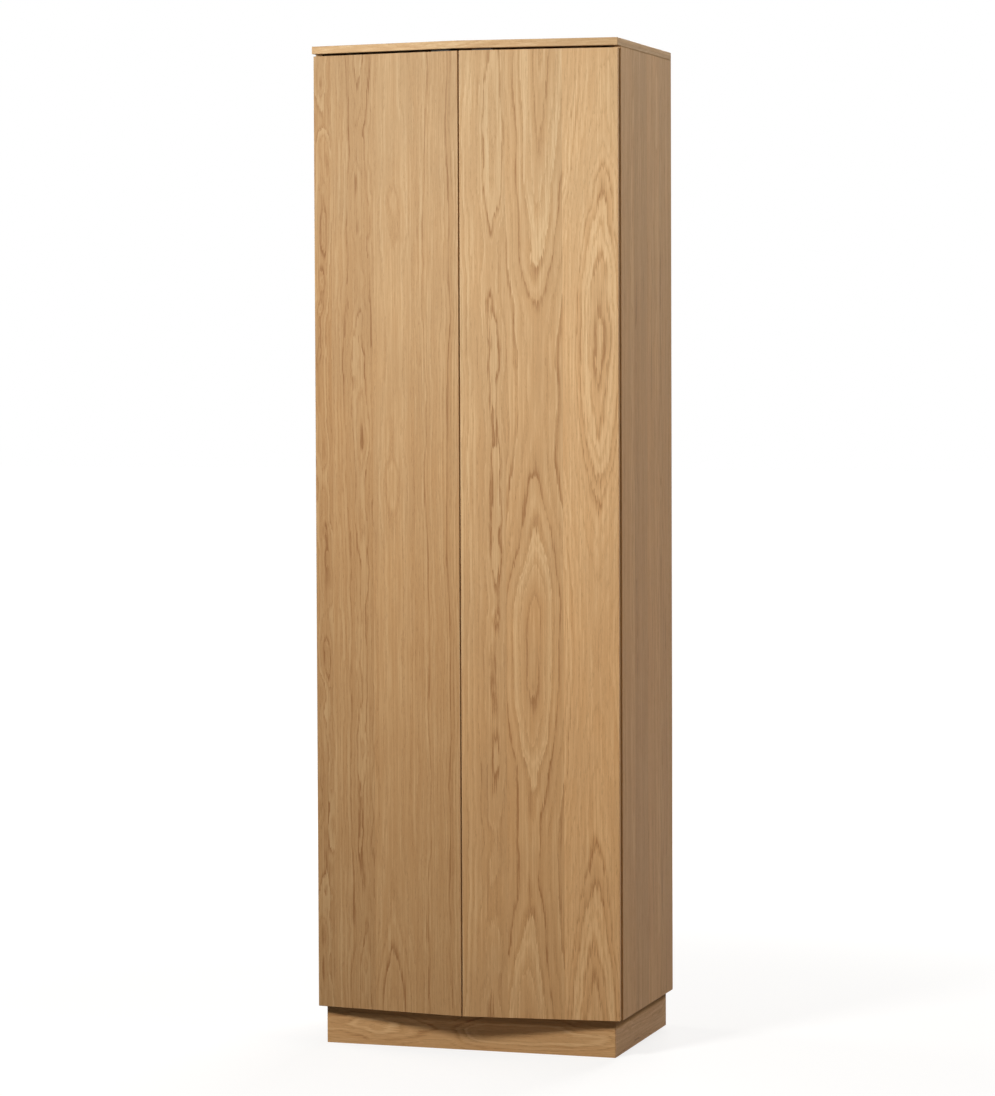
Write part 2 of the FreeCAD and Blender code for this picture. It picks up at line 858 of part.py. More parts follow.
def main_links():
    """Forked links between arm and cup: two bars joined by a web."""
    inner = guide_half_height + link_side_play
    outer = inner + main_bar_height
    run = main_door_pivot - main_arm_pivot
    pieces = []
    for z0, z1 in ((-outer, -inner), (inner, outer)):
        pieces.append(bar(main_arm_pivot, main_door_pivot, main_link_half_width, z0, z1))
        pieces.append(post(main_arm_pivot, eye_radius, z0, z1))
        pieces.append(post(main_door_pivot, eye_radius, z0, z1))
    start, end = main_arm_pivot + run * web_start_share, main_arm_pivot + run * web_end_share
    web = bar(start, end, main_link_half_width, -outer, outer)
    holes = [post(p, pin_radius + snug, -outer, outer) for p in (main_arm_pivot, main_door_pivot)]
    body = web.fuse(pieces).cut(holes).removeSplitter()
    return at_heights(body, hinge_heights)


def guide_links():
    """Single links in the fork, with a wide eye on the arm's pin."""
    half = guide_half_height
    bore = pin_radius + guide_eye_room
    run = bar(guide_arm_pivot, guide_door_pivot, guide_link_half_width, -half, half)
    wide_eye = post(guide_arm_pivot, bore + guide_eye_wall, -half, half)
    small_eye = post(guide_door_pivot, eye_radius, -half, half)
    holes = [post(guide_arm_pivot, bore, -half, half), post(guide_door_pivot, pin_radius + snug, -half, half)]
    body = run.fuse([wide_eye, small_eye]).cut(holes).removeSplitter()
    return at_heights(body, hinge_heights)


# Doors


def door_outline():
    """Plan of the left door: square at the hinge side, cut along the middle plane at the other."""
    front_run = (door_inner_x - door_front_corner.x) / cos(slope)
    back_run = (door_inner_x - door_back_corner.x) / cos(slope)
    front_end = door_front_corner + along * front_run
    back_end = door_back_corner + along * back_run
    return [door_front_corner, front_end, back_end, door_back_corner]


def door_panel():
    """Left door with its cup bores and screw holes."""
    body = softened(prism(door_outline(), door_low_z, door_high_z))
    tools = []
    for z in hinge_heights:
        start = cup_centre + inward * overrun + UP * z
        tools.append(rod(start, inward * -1, cup_bore_radius, cup_bore_depth + overrun))
    reach = flange_thickness + screw_length - hole_bottom_room
    tools += [screw_hole(p, d, reach, screw_radius) for p, d in cup_screws()]
    return [body.cut(tools)]


def free_edge_distance():
    """Length of the door's back face from the hinge side to the free edge."""
    return (door_inner_x - door_back_corner.x) / cos(slope)


def back_disc(edge_distance, radius, thickness, heights):
    """Discs on the door's back face near its free edge."""
    start = on_door(free_edge_distance() - edge_distance, -thickness)
    return at_heights(rod(start, inward * -1, radius, thickness), heights)


def strike_plates():
    """Steel discs that the latches push."""
    return back_disc(latch_edge_distance, strike_radius, strike_thickness, [z for z, _ in latch_levels()])


def door_bumpers():
    """Soft pad near the free edge, in front of the bottom board."""
    heights = [door_low_z + bumper_edge_distance / 2]
    return back_disc(bumper_edge_distance, bumper_radius, bumper_thickness, heights)


# Push latches


def latch_axis_point(distance):
    """Plan point on the latch's axis, this far behind the door's back face."""
    return on_door(free_edge_distance() - latch_edge_distance, -distance)


def latch_housings():
    """Housings under the top and on the bottom board, each bored for its plunger."""
    shapes = []
    front = latch_axis_point(gap_behind_door)
    rear = latch_axis_point(gap_behind_door + latch_length)
    for z, side in latch_levels():
        half = latch_height / 2
        body = bar(front, rear, latch_width / 2, z - half, z + half)
        plane = z + side * half
        z0, z1 = sorted((plane, plane - side * latch_base_thickness))
        base = bar(front, rear, latch_base_width / 2, z0, z1)
        bore_depth = plunger_length + plunger_travel + 2 * plunger_clearance
        start = latch_axis_point(gap_behind_door - overrun) + UP * z
        bore = rod(start, inward, plunger_radius + plunger_clearance, bore_depth + overrun)
        holes = [bore]
        for point, direction in latch_screws():
            if direction.z * side > 0:
                holes.append(screw_hole(point, direction, latch_base_thickness, screw_radius))
        shapes.append(body.fuse(base).cut(holes))
    return shapes


def latch_screw_set():
    """Screws of the left latches."""
    reach = shank_length(latch_base_thickness) - hole_bottom_room
    return [screw(p, d, reach, screw_radius) for p, d in latch_screws()]


def latch_plungers():
    """Plungers that meet the strike plates."""
    front = latch_axis_point(strike_thickness + plunger_clearance)
    length = gap_behind_door - strike_thickness - plunger_clearance + plunger_length
    return at_heights(rod(front, inward, plunger_radius, length), [z for z, _ in latch_levels()])


def write(name, shapes):
    """One file for one named piece or set of pieces."""
    shape = shapes[0] if len(shapes) == 1 else Part.makeCompound(shapes)
    shape.exportStep("parts/" + name + ".step")
    valid = all(s.isValid() for s in shape.Solids)
    print(name, len(shape.Solids), "solids", round(shape.Volume), "mm3", "" if valid else "NOT VALID")


def main():
    os.makedirs("parts", exist_ok=True)
    single = {
        "top_panel": top_panel,
        "bottom_panel": bottom_panel,
        "hat_shelf": hat_shelf,
        "back_panel": back_panel,
        "plinth_front_board": plinth_front_board,
        "plinth_rear_board": plinth_rear_board,
        "plinth_corner_blocks": plinth_corner_blocks,
        "plinth_screws": plinth_screws,
        "cam_housings": cam_housings,
        "cam_bolts": cam_bolts,
        "wood_dowels": wood_dowels,
        "hanging_rail": hanging_rail,
        "rail_socket_screws": rail_socket_screws,
        "wall_brackets": wall_brackets,
        "wall_bracket_screws": wall_bracket_screw_set,
    }
    paired = {
        "side_panel": side_panel,
        "plinth_side_board": plinth_side_board,
        "rail_socket": rail_socket,
        "hinge_plates": hinge_plates,
        "hinge_plate_screws": hinge_plate_screws,
        "hinge_arms": hinge_arms,
        "hinge_arm_screws": hinge_arm_screws,
        "hinge_arm_pins": hinge_arm_pins,
        "hinge_main_links": main_links,
        "hinge_guide_links": guide_links,
        "hinge_cups": hinge_cups,
        "hinge_cup_pins": hinge_cup_pins,
        "hinge_cup_screws": hinge_cup_screws,
        "door_panel": door_panel,
        "door_bumpers": door_bumpers,
        "strike_plates": strike_plates,
        "latch_housings": latch_housings,
        "latch_screws": latch_screw_set,
        "latch_plungers": latch_plungers,
    }
    for name, make in single.items():
        write(name, make())
    for name, make in paired.items():
        shapes = make()
        write("left_" + name, shapes)
        write("right_" + name, [mirrored(s) for s in shapes])


main()
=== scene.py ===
from collections import namedtuple
from math import cos, radians, sin

import bmesh
import bpy
from mathutils import Matrix, Vector


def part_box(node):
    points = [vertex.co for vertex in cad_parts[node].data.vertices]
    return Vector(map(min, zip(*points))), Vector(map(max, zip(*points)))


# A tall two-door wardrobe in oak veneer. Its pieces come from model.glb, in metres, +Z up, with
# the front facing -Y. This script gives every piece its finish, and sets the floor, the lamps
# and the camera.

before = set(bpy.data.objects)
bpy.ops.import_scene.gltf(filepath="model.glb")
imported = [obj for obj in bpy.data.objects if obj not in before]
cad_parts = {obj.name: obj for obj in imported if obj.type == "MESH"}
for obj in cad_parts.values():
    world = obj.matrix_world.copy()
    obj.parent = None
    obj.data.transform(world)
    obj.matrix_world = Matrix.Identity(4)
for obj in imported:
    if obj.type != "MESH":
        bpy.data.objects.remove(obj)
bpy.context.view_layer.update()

MM = 0.001
X_AXIS = Vector((1, 0, 0))
Y_AXIS = Vector((0, 1, 0))
Z_AXIS = Vector((0, 0, 1))


def srgb(red, green, blue):
    """A colour as it is seen, from 0 to 255, as the linear colour that a shader takes."""
    levels = [value / 255 for value in (red, green, blue)]
    linear = [((v + 0.055) / 1.055) ** 2.4 if v > 0.04045 else v / 12.92 for v in levels]
    return (*linear, 1.0)


WHITE = (1.0, 1.0, 1.0, 1.0)

# Wood colours: light, middle, dark and pores. Warmth tints them with the last colour.
OAK = (srgb(238, 207, 162), srgb(217, 179, 132), srgb(181, 138, 94), srgb(140, 97, 60))
PINE = (srgb(236, 208, 160), srgb(222, 186, 134), srgb(196, 148, 92), srgb(186, 138, 88))
BEECH = (srgb(224, 188, 152), srgb(210, 170, 132), srgb(192, 148, 110), srgb(150, 104, 72))
WOOD_WARMTH = (1.0, 0.86, 0.72, 1.0)

# A pattern of noise: its cycles per metre, on wood across, through and along the grain, what
# its full swing adds to a value, and the noise's detail and roughness
Pattern = namedtuple("Pattern", "stretch gain detail roughness", defaults=(2.0, 0.5))
NOISE_MIDDLE = 0.5

# What bends the growth rings, in metres: slow swings of the heart line and of its depth, and
# the feathered and jagged edges of the rings
WANDER = Pattern((7, 7, 1.7), 55 * MM)
RIPPLE = Pattern((13, 13, 6), 45 * MM)
FEATHER = Pattern((520, 520, 9), 9 * MM)
JAG = Pattern((85, 85, 16), 5 * MM)

# The rings: how pointed their arches are, how rare the strong ones are, how strong the faintest
# is, and how each comes and goes along its way. A ring's dark band sets in and fades over these
# shares of the ring and darkens by this much, and near the heart line the tips are bolder.
RING_SHARPNESS = 1.55
STRENGTH_POWER = 2.5
FAINTEST_RING = 0.15
FADING = Pattern((30, 30, 6), 2.2)
ONSET_SHARE = 0.06
EARLY_SHARE = 0.65
RING_DARKNESS = 0.58
TIP_REACH = 28 * MM
TIP_BOLDNESS = 0.5

# Swings of the level that follow the rings: their changes in each ring, and what they add
YEARS = (3.1, 0.4)
DECADES = (0.55, 0.5)

# The level between dark and light where no ring darkens it, and what else changes it: streaks,
# strands and a mottle, which changes the warmth too
PLAIN_LEVEL = 0.65
STREAK = Pattern((250, 250, 3), 0.95, 3.0, 0.6)
STRAND = Pattern((1000, 1000, 20), 0.35)
MOTTLE = Pattern((17, 17, 6), 1.0)
MOTTLE_LEVEL = 0.35
MOTTLE_WARMTH = 0.7

# Pores: the noise between which they set in, how many the late wood has against the early, how
# far they take the pores' colour, and how deep the early wood lies against them
PORE = Pattern((2300, 2300, 85), 1.0, 1.0)
PORE_LIMITS = (0.05, 0.16)
LATE_PORES = 0.25
PORE_SHARE = 0.4
EARLY_RELIEF = 0.25

# Matt lacquer: its roughness, what the pores add to it, its gloss, and the strength and depth
# of its relief
LACQUER_ROUGHNESS = 0.56
PORE_ROUGHNESS = 0.2
LACQUER_GLOSS = 0.22
WOOD_RELIEF = (0.35, 0.15 * MM)

# How far a leaf's own number moves it through the noise, across, through and along
SHIFT_STEP = (1.7, 2.3, 3.1)

# Depths of the log's heart are given in shares of this
DEPTH_SCALE = 100 * MM

# Raw fibre board: its colours, fibres and blotches, the levels between which the colours change,
# its roughness, and the strength and depth of its relief
FIBRE_COLOURS = (srgb(172, 139, 105), srgb(142, 110, 80))
FIBRE = Pattern((160, 400, 60), 1.0, 5.0, 0.7)
BLOTCH = Pattern((70, 70, 55), 0.5)
FIBRE_LIMITS = (-0.2, 0.2)
FIBRE_ROUGHNESS = 0.85
FIBRE_RELIEF = (0.35, 0.2 * MM)

# Edges of boards: how wide the line on an edge is, and how much lighter than the face it is.
# Hands rub the free edges pale, and shade is painted along the edges of boards at a joint.
FREE_EDGE = (1.2 * MM, 0.12)
SEAM_SHADE_EDGE = (2.0 * MM, -0.5)

# An edge begins and is full at these cosines of the angle between its rounded and flat normals
EDGE_LIMITS = (0.995, 0.86)
EDGE_SAMPLES = 4

# Painted shade beside a joint: in the seam under the top, and under the carcass's overhang on the
# plinth. The width of its band, the width over which it fades, and how strong it is. The painted
# shade leaves this share of the wood's tone, and adds to its roughness, which dulls its
# reflection.
SIDE_SEAM_SHADE = (0.0, 3.5 * MM, 1.0)
PLINTH_OVERHANG_SHADE = (12 * MM, 12 * MM, 1.0)
PAINTED_SHADE_TONE = 0.62
PAINTED_SHADE_ROUGHNESS = 0.4

# The edging covers the faces that look along a board by this much, and is darker than the rest
END_FACING = 0.75
EDGING_TONE = 0.9

# Painted shade: the veneer gets warmer and darker towards the floor, over the object's height
PAINTED_FLOOR_SHADE = 0.8
DEEPEST = 430 * MM
HEIGHT = 2150 * MM

# The faces that look into the wardrobe have none of that painted shade, and are painted less warm,
# against the warm light bounced between the boards inside. Such a face's place and normal lie on
# opposite sides of the middle, so that their product is below this.
INNER_WARMTH = -1.0
INNER_LIMIT = -1 * MM

# A face of the back board that looks this far towards the front is its oak face
FRONT_FACING = -0.5

# Quiet leaves of the other boards: where their hearts lie, how their tones differ, the depth of
# the heart up the board, and the width of their rings
HEART_SHARES = (0.85, 0.15)
LEAF_TONES = (1.0, 0.93, 1.03, 0.96)
PLAIN_DEPTHS = ((0.0, 0.5), (0.5, 0.4), (1.0, 0.5))
PLAIN_RING = 8 * MM

# How many leaves the other boards have
SIDE_LEAVES = 4
LEVEL_LEAVES = 4
BACK_LEAVES = 5

# The doors slope back from the ridge by the first size over the second. Their outer leaves end
# just past their outer edges.
DOOR_SLOPE = 39 / 340
DOOR_EDGE = 341 * MM

# Grain of metals and mouldings, in cycles per metre
ROLLED_GRAIN = (900, 2600, 900)
TUBE_GRAIN = (25, 900, 900)
CAST_GRAIN = (1500, 1500, 1500)
MOULDED_GRAIN = (2200, 2200, 2200)

# Handling marks: smudges, whose kind of noise draws the grain too, the noise between which they
# set in, and how far the grain, the smudges and the rubbed edges dull a surface
SMUDGE = Pattern((70, 70, 55), 1.0, 3.0, 0.6)
SMUDGE_LIMITS = (-0.12, 0.2)
GRAIN_DULLING = 0.8
SMUDGE_DULLING = 0.7
EDGE_DULLING = -0.6

# Shares of a surface's roughness: where it is clean, and what smudges, grain and edges add
CLEAN_ROUGHNESS = 0.85
SMUDGE_ROUGHNESS = 0.35
GRAIN_ROUGHNESS = 0.5
EDGE_ROUGHNESS = -0.2
SURFACE_EDGE = 0.3 * MM
SURFACE_DEPTH = 0.1 * MM

# A finish of a metal or a moulding: its clean and its dull colour, how metallic and how rough
# it is, its grain, and how strong the grain's relief is
Finish = namedtuple("Finish", "name clean dull metallic roughness grain relief")

NICKEL_COLOURS = (srgb(205, 201, 193), srgb(182, 177, 168))
ZINC_COLOURS = (srgb(198, 202, 206), srgb(176, 178, 176))
CAST_COLOURS = (srgb(172, 172, 170), srgb(148, 148, 147))
CHROME_COLOURS = (srgb(224, 225, 228), srgb(212, 213, 215))
BROWN_COLOURS = (srgb(78, 69, 60), srgb(66, 58, 50))
GREY_COLOURS = (srgb(104, 99, 93), srgb(90, 86, 80))
CLEAR_COLOURS = (srgb(214, 213, 205), srgb(202, 200, 190))

NICKEL = Finish("hinge_steel", *NICKEL_COLOURS, 1.0, 0.27, ROLLED_GRAIN, 0.15)
ZINC_PLATE = Finish("screw_steel", *ZINC_COLOURS, 1.0, 0.33, ROLLED_GRAIN, 0.2)
CAST_ZINC = Finish("cam_zinc", *CAST_COLOURS, 1.0, 0.44, CAST_GRAIN, 0.5)
CHROME = Finish("rail_chrome", *CHROME_COLOURS, 1.0, 0.09, TUBE_GRAIN, 0.02)
BROWN_PLASTIC = Finish("latch_plastic", *BROWN_COLOURS, 0.0, 0.48, MOULDED_GRAIN, 0.3)
GREY_PLASTIC = Finish("plunger_plastic", *GREY_COLOURS, 0.0, 0.38, MOULDED_GRAIN, 0.15)
CLEAR_RUBBER = Finish("bumper_rubber", *CLEAR_COLOURS, 0.0, 0.6, MOULDED_GRAIN, 0.2)


def new_tree(owner):
    """An empty node tree of a material or of the world."""
    owner.use_nodes = True
    tree = owner.node_tree
    tree.nodes.clear()
    return tree


def feed(tree, socket, value):
    """Links a socket to an input, or sets the input to a constant."""
    if isinstance(value, bpy.types.NodeSocket):
        tree.links.new(value, socket)
    else:
        socket.default_value = value


def add_node(tree, kind, feeds=None, **settings):
    """A shader node with its settings and inputs."""
    node = tree.nodes.new("ShaderNode" + kind)
    for name, value in settings.items():
        setattr(node, name, value)
    for key, value in (feeds or {}).items():
        feed(tree, node.inputs[key], value)
    return node


def calc(tree, operation, *values):
    """One sum of a Math node."""
    node = add_node(tree, "Math", dict(enumerate(values)), operation=operation)
    return node.outputs[0]


def vector_calc(tree, operation, *values):
    """One sum of a Vector Math node."""
    node = add_node(tree, "VectorMath", dict(enumerate(values)), operation=operation)
    return node.outputs[0]


def scale(tree, vector, factor):
    """A vector or a colour times a number."""
    feeds = {"Vector": vector, "Scale": factor}
    return add_node(tree, "VectorMath", feeds, operation="SCALE").outputs[0]


def split(tree, vector):
    """The parts of a vector, by their axes."""
    return add_node(tree, "SeparateXYZ", {0: vector}).outputs


# The Mix node's first input and its output for each kind of value
MIX_SOCKETS = {"FLOAT": (2, 0), "VECTOR": (4, 1), "RGBA": (6, 2)}


def mix(tree, kind, share, first, second, **settings):
    """Two values of a kind, mixed by a share."""
    start, output = MIX_SOCKETS[kind]
    feeds = {0: share, start: first, start + 1: second}
    return add_node(tree, "Mix", feeds, data_type=kind, **settings).outputs[output]


def fade(tree, value, start, end, low=0.0, high=1.0):
    """A smooth step of a value from one level to another."""
    feeds = {"Value": value, "From Min": start, "From Max": end, "To Min": low, "To Max": high}
    return add_node(tree, "MapRange", feeds, interpolation_type="SMOOTHSTEP").outputs[0]


def swing(tree, node, gain, base):
    """A noise node's swing about its middle, times a gain, about a base."""
    centred = calc(tree, "SUBTRACT", node.outputs["Fac"], NOISE_MIDDLE)
    return calc(tree, "MULTIPLY_ADD", centred, gain, base)


def noise(tree, place, pattern, base=0.0):
    """A pattern of noise on a place, about a base."""
    feeds = {
        "Vector": vector_calc(tree, "MULTIPLY", place, pattern.stretch),
        "Scale": 1.0,
        "Detail": pattern.detail,
        "Roughness": pattern.roughness,
    }
    return swing(tree, add_node(tree, "TexNoise", feeds), pattern.gain, base)


def ring_noise(tree, turns, pace, gain, shift, base):
    """Noise that follows the growth rings, by its changes in each ring, about a base."""
    feeds = {"W": calc(tree, "MULTIPLY_ADD", turns, pace, shift), "Scale": 1.0, "Detail": 1.0}
    return swing(tree, add_node(tree, "TexNoise", feeds, noise_dimensions="1D"), gain, base)


def blend_colours(tree, level, light, middle_tone, dark):
    """Dark at nought, middle at a half and light at one."""
    lower = mix(tree, "RGBA", fade(tree, level, 0.0, 0.5), dark, middle_tone)
    return mix(tree, "RGBA", fade(tree, level, 0.5, 1.0), lower, light)


def new_group(name, inputs, outputs):
    """An empty node group, its input node's sockets by name, and its output node's."""
    tree = bpy.data.node_groups.new(name, "ShaderNodeTree")
    for direction, sockets in (("INPUT", inputs), ("OUTPUT", outputs)):
        for label, kind in sockets.items():
            socket_type = f"NodeSocket{kind}"
            tree.interface.new_socket(name=label, in_out=direction, socket_type=socket_type)
    given = tree.nodes.new("NodeGroupInput").outputs
    result = tree.nodes.new("NodeGroupOutput").inputs
    return tree, given, result


def place_group(tree, group, feeds):
    """A node group in a material's tree, and its outputs."""
    node = tree.nodes.new("ShaderNodeGroup")
    node.node_tree = group
    for key, value in feeds.items():
        feed(tree, node.inputs[key], value)
    return node.outputs


def edge_group():
    """Mask of a piece's own edges, where hands and dusters rub and where seam shade is painted."""
    tree, given, result = new_group("edge_mask", {"Radius": "Float"}, {"Mask": "Float"})
    feeds = {"Radius": given["Radius"]}
    rounded = add_node(tree, "Bevel", feeds, samples=EDGE_SAMPLES).outputs["Normal"]
    flat = add_node(tree, "NewGeometry").outputs["Normal"]
    product = add_node(tree, "VectorMath", {0: rounded, 1: flat}, operation="DOT_PRODUCT")
    feed(tree, result["Mask"], fade(tree, product.outputs["Value"], *EDGE_LIMITS))
    return tree


def ring_turns(tree, given, spot):
    """The growth rings counted from the log's heart, and the way across from the heart line."""
    parts = split(tree, given["Place"])
    across = calc(tree, "SUBTRACT", parts["X"], given["Heart"])
    across = calc(tree, "MULTIPLY_ADD", noise(tree, spot, WANDER), given["Wave"], across)
    across = calc(tree, "ABSOLUTE", across)
    depth = calc(tree, "ADD", given["Depth"], parts["Y"])
    depth = calc(tree, "MULTIPLY_ADD", noise(tree, spot, RIPPLE), given["Wave"], depth)
    depth = calc(tree, "ABSOLUTE", depth)
    powers = [calc(tree, "POWER", way, RING_SHARPNESS) for way in (across, depth)]
    radius = calc(tree, "POWER", calc(tree, "ADD", *powers), 1 / RING_SHARPNESS)
    jag = noise(tree, spot, JAG, noise(tree, spot, FEATHER))
    turns = calc(tree, "DIVIDE", calc(tree, "ADD", radius, jag), given["Ring"])
    return turns, across


def ring_bands(tree, given, spot, turns, across):
    """The early wood in each ring, and how dark the rings' bands are."""
    count = calc(tree, "ADD", calc(tree, "FLOOR", turns), given["Shift"])
    chance = add_node(tree, "TexWhiteNoise", {"W": count}, noise_dimensions="1D")
    strength = calc(tree, "POWER", chance.outputs["Value"], STRENGTH_POWER)
    strength = calc(tree, "MULTIPLY_ADD", strength, 1 - FAINTEST_RING, FAINTEST_RING)
    strength = calc(tree, "MULTIPLY", strength, noise(tree, spot, FADING, 1.0))
    cycle = calc(tree, "FRACT", turns)
    early = fade(tree, cycle, 0.0, EARLY_SHARE, 1.0, 0.0)
    early = calc(tree, "MULTIPLY", early, fade(tree, cycle, 0.0, ONSET_SHARE))
    near = fade(tree, across, 0.0, TIP_REACH, 1.0, 0.0)
    tips = calc(tree, "MULTIPLY_ADD", near, TIP_BOLDNESS, 1.0)
    bands = calc(tree, "MULTIPLY", calc(tree, "MULTIPLY", early, strength), given["Bold"])
    return early, calc(tree, "MULTIPLY", bands, tips)


def wood_group():
    """Rings, fibres and pores of wood. Place is across, through and along."""
    colours = dict.fromkeys(("Light", "Middle", "Dark", "Pore"), "Color")
    numbers = ("Heart", "Depth", "Wave", "Shift", "Tone", "Warmth", "Ring", "Bold", "Edge", "Dust")
    inputs = {**colours, "Place": "Vector", **dict.fromkeys(numbers, "Float")}
    outputs = {"Color": "Color", "Roughness": "Float", "Height": "Float"}
    tree, given, result = new_group("wood_figure", inputs, outputs)
    shift = scale(tree, SHIFT_STEP, given["Shift"])
    spot = vector_calc(tree, "ADD", given["Place"], shift)
    turns, across = ring_turns(tree, given, spot)
    early, bands = ring_bands(tree, given, spot, turns, across)
    mottle = noise(tree, spot, MOTTLE)
    pores = fade(tree, noise(tree, spot, PORE), *PORE_LIMITS)
    many = calc(tree, "MULTIPLY_ADD", early, 1 - LATE_PORES, LATE_PORES)
    pores = calc(tree, "MULTIPLY", pores, many)

    level = calc(tree, "MULTIPLY_ADD", bands, -RING_DARKNESS, PLAIN_LEVEL)
    level = ring_noise(tree, turns, *YEARS, given["Shift"], level)
    level = ring_noise(tree, turns, *DECADES, given["Shift"], level)
    level = noise(tree, spot, STREAK, level)
    level = noise(tree, spot, STRAND, level)
    level = calc(tree, "MULTIPLY_ADD", mottle, MOTTLE_LEVEL, level)
    level = calc(tree, "ADD", given["Edge"], level)
    colour = blend_colours(tree, level, given["Light"], given["Middle"], given["Dark"])
    colour = mix(tree, "RGBA", calc(tree, "MULTIPLY", pores, PORE_SHARE), colour, given["Pore"])
    warm = calc(tree, "MULTIPLY_ADD", mottle, MOTTLE_WARMTH, given["Warmth"])
    tint = mix(tree, "RGBA", warm, WHITE, WOOD_WARMTH)
    colour = mix(tree, "RGBA", 1.0, colour, tint, blend_type="MULTIPLY")
    # Painted shade beside a joint: a darker tone and a rougher lacquer
    tone = calc(tree, "MULTIPLY_ADD", given["Dust"], PAINTED_SHADE_TONE - 1, 1.0)
    tone = calc(tree, "MULTIPLY", tone, given["Tone"])
    feed(tree, result["Color"], scale(tree, colour, tone))

    rough = calc(tree, "MULTIPLY_ADD", pores, PORE_ROUGHNESS, LACQUER_ROUGHNESS)
    rough = calc(tree, "MULTIPLY_ADD", given["Dust"], PAINTED_SHADE_ROUGHNESS, rough)
    feed(tree, result["Roughness"], rough)
    relief = calc(tree, "MULTIPLY", early, -EARLY_RELIEF)
    feed(tree, result["Height"], calc(tree, "MULTIPLY_ADD", pores, -1.0, relief))
    return tree


def surface_group():
    """Handling marks and grain of a metal or a moulding."""
    inputs = {
        "Clean": "Color",
        "Dull": "Color",
        "Roughness": "Float",
        "Grain": "Vector",
        "Edge": "Float",
    }
    outputs = {"Color": "Color", "Roughness": "Float", "Height": "Float"}
    tree, given, result = new_group("handled_surface", inputs, outputs)
    place = add_node(tree, "TexCoord").outputs["Object"]
    smudge = fade(tree, noise(tree, place, SMUDGE), *SMUDGE_LIMITS)
    grain = noise(tree, place, SMUDGE._replace(stretch=given["Grain"]))
    dull = calc(tree, "MULTIPLY", smudge, SMUDGE_DULLING)
    dull = calc(tree, "MULTIPLY_ADD", grain, GRAIN_DULLING, dull)
    dull = calc(tree, "MULTIPLY_ADD", given["Edge"], EDGE_DULLING, dull)
    dull = fade(tree, dull, 0.0, 1.0)
    feed(tree, result["Color"], mix(tree, "RGBA", dull, given["Clean"], given["Dull"]))
    rough = calc(tree, "MULTIPLY_ADD", smudge, SMUDGE_ROUGHNESS, CLEAN_ROUGHNESS)
    rough = calc(tree, "MULTIPLY_ADD", grain, GRAIN_ROUGHNESS, rough)
    rough = calc(tree, "MULTIPLY_ADD", given["Edge"], EDGE_ROUGHNESS, rough)
    feed(tree, result["Roughness"], calc(tree, "MULTIPLY", rough, given["Roughness"]))
    feed(tree, result["Height"], grain)
    return tree


EDGE_MASK = edge_group()
WOOD_FIGURE = wood_group()
SURFACE = surface_group()

# A joint on a board's face: the axis that runs to it, its place on that axis, the widths of the
# band of painted shade beside it and of that band's fading, and how strong that shade is
Joint = namedtuple("Joint", "axis place band fading dust")

# A board's own axes in the model: across the grain, through the board, along the grain
Board = namedtuple("Board", "origin across through along length joint", defaults=[None])

# A leaf of veneer: its two edges and its heart line across the board, how far the heart line
# leans, the depth of the log's heart behind it up the board in shares, how wavy and how wide its
# rings are, its tone and warmth, how bold its rings are, and its own number
Leaf = namedtuple("Leaf", "start end heart lean depth_shares wave ring tone warmth bold shift")


def board_place(tree, board):
    """Across, through and along on a board, and a mask of its ends, whose grain runs across."""
    turn = Matrix((board.across, board.through, board.along)).transposed().to_euler()
    given = add_node(tree, "TexCoord").outputs
    feeds = {"Vector": given["Object"], "Location": board.origin, "Rotation": turn}
    place = add_node(tree, "Mapping", feeds, vector_type="TEXTURE").outputs[0]
    feeds = {"Vector": given["Normal"], "Rotation": turn}
    normal = add_node(tree, "Mapping", feeds, vector_type="TEXTURE").outputs[0]
    facing = calc(tree, "ABSOLUTE", split(tree, normal)["Z"])
    end = calc(tree, "GREATER_THAN", facing, END_FACING)
    parts = split(tree, place)
    feeds = {0: parts["Y"], 1: DEPTH_SCALE, 2: parts["X"]}
    edging = add_node(tree, "CombineXYZ", feeds).outputs[0]
    return mix(tree, "VECTOR", end, place, edging), end


def depth_curve(tree, height, shares):
    """Depth of the log's heart behind a leaf, on a smooth curve up the board."""
    node = add_node(tree, "FloatCurve", {"Value": height})
    points = node.mapping.curves[0].points
    for point, place in zip(points, (shares[0], shares[-1])):
        point.location = place
    for place in shares[1:-1]:
        points.new(*place)
    node.mapping.update()
    return calc(tree, "MULTIPLY", node.outputs[0], DEPTH_SCALE)


def painted_floor_warmth(tree):
    """Painted shade: how much warmer and darker the colour is near the floor, and how much less
    warm the inner faces are.
    """
    given = add_node(tree, "TexCoord").outputs
    model = split(tree, given["Object"])
    product = calc(tree, "MULTIPLY", model["X"], split(tree, given["Normal"])["X"])
    inner = calc(tree, "LESS_THAN", product, INNER_LIMIT)
    floor_shade = fade(tree, model["Z"], DEEPEST, HEIGHT, PAINTED_FLOOR_SHADE, 0.0)
    return calc(tree, "MULTIPLY_ADD", inner, INNER_WARMTH, floor_shade)


